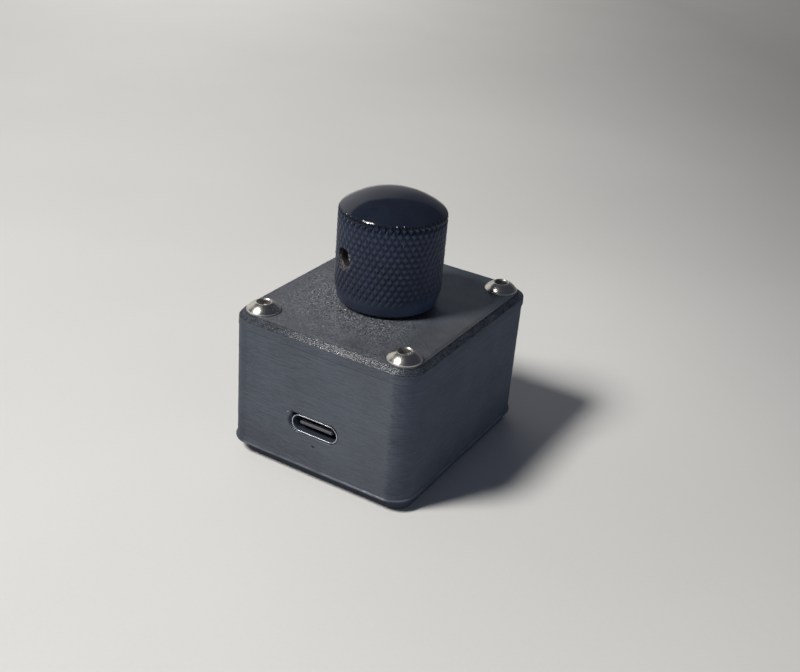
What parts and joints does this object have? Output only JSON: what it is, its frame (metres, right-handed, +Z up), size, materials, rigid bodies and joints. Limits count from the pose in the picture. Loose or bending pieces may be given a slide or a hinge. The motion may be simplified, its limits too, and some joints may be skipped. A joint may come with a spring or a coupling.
{
  "type": "usb volume control knob",
  "caption": "Small printed desk case with a knurled domed knob on a push-button rotary encoder, a USB-C receptacle in its front wall and a screwed-down lid.",
  "frame": {"origin": "bottom centre of the case, on the surface it stands on; the knob turns about the vertical axis through the origin", "axes": "+Z up along the knob axis, -Y is the front with the USB-C receptacle, +X to the right seen from the front; the longest side of the whole object runs along Z"},
  "size_m": [0.0356, 0.0416, 0.0456],
  "materials": {
    "pad": "fine-celled anti-slip foam rubber, matt",
    "case_print": "dark blue-grey printed plastic with fine horizontal layer lines and a faint sparkle",
    "lid_print": "dark blue-grey printed plastic, diagonal top-surface lines with a faint sparkle",
    "screw_steel": "polished stainless steel",
    "insert_brass": "machined brass",
    "usb_shell": "bright nickel-plated steel",
    "usb_tongue": "black moulded plastic",
    "gold_contacts": "gold-plated contacts",
    "board_mask": "dark solder mask on glass epoxy",
    "chip_black": "black moulded chip body",
    "crystal_can": "plated can",
    "capacitor_body": "tan ceramic",
    "resistor_body": "black film on ceramic",
    "led_lens": "milky lens",
    "switch_steel": "stamped steel cover",
    "button_black": "black moulded plastic",
    "solder": "bright solder",
    "clamp_print": "dark blue-grey printed plastic",
    "zinc_steel": "bright zinc plate",
    "die_cast": "die-cast, bright",
    "encoder_plastic": "brown-black moulded plastic",
    "white_plastic": "natural moulded acetal",
    "spring_metal": "rolled spring metal",
    "shaft_metal": "turned, fine machining marks",
    "knob_black": "glossy black plated metal: smooth dome, diamond-knurled side",
    "set_screw_steel": "bright steel",
    "wire_red": "red insulation",
    "wire_black": "black insulation",
    "wire_yellow": "yellow insulation",
    "wire_blue": "blue insulation",
    "wire_green": "green insulation"
  },
  "bodies": {
    "case": {"anti_slip_pad": "pad", "body_shell": "case_print", "lid": "lid_print", "lid_screws": "screw_steel", "threaded_inserts": "insert_brass", "controller_board": "board_mask", "usb_c_shell": "usb_shell", "usb_c_tongue": "usb_tongue", "usb_c_contacts": "gold_contacts", "microcontroller": "chip_black", "crystal": "crystal_can", "voltage_regulator": "chip_black", "chip_capacitors": "capacitor_body", "chip_resistors": "resistor_body", "indicator_leds": "led_lens", "reset_switch_case": "switch_steel", "solder_joints": "solder", "board_clamp": "clamp_print", "clamp_screws": "zinc_steel", "encoder_bushing": "die_cast", "encoder_bracket": "zinc_steel", "encoder_housing": "encoder_plastic", "encoder_base": "encoder_plastic", "contact_tracks": "gold_contacts", "encoder_pins": "zinc_steel", "switch_pins": "zinc_steel", "detent_spring": "spring_metal", "switch_dome": "spring_metal", "panel_washer": "zinc_steel", "panel_nut": "zinc_steel", "wire_a": "wire_yellow", "wire_b": "wire_green", "wire_common": "wire_black", "wire_switch_1": "wire_red", "wire_switch_2": "wire_blue"},
    "rotor": {"encoder_rotor": "white_plastic", "rotor_wiper": "spring_metal"},
    "knob": {"knob": "knob_black", "knob_set_screw": "set_screw_steel", "encoder_shaft": "shaft_metal", "shaft_clip": "spring_metal"},
    "plunger": {"switch_plunger": "white_plastic"},
    "reset_key": {"reset_button": "button_black"}
  },
  "joints": [
    {"name": "knob_turn", "type": "hinge", "parent": "case", "child": "rotor", "pos_m": [0, 0, 0.03], "axis": [0, 0, 1], "continuous": true},
    {"name": "knob_push", "type": "slide", "parent": "rotor", "child": "knob", "axis": [0, 0, -1], "range_m": [0, 0.0005], "stiffness_N_per_m": 3000, "springref_m": -0.0005, "deforming": ["switch_dome"]},
    {"name": "plunger_push", "type": "slide", "parent": "case", "child": "plunger", "axis": [0, 0, -1], "range_m": [0, 0.0005]},
    {"name": "reset_press", "type": "slide", "parent": "case", "child": "reset_key", "axis": [0, 0, -1], "range_m": [0, 0.00025], "stiffness_N_per_m": 1500, "springref_m": -0.0005}
  ],
  "couplings": [
    {"joint": "plunger_push", "follows": "knob_push", "ratio": 1}
  ]
}
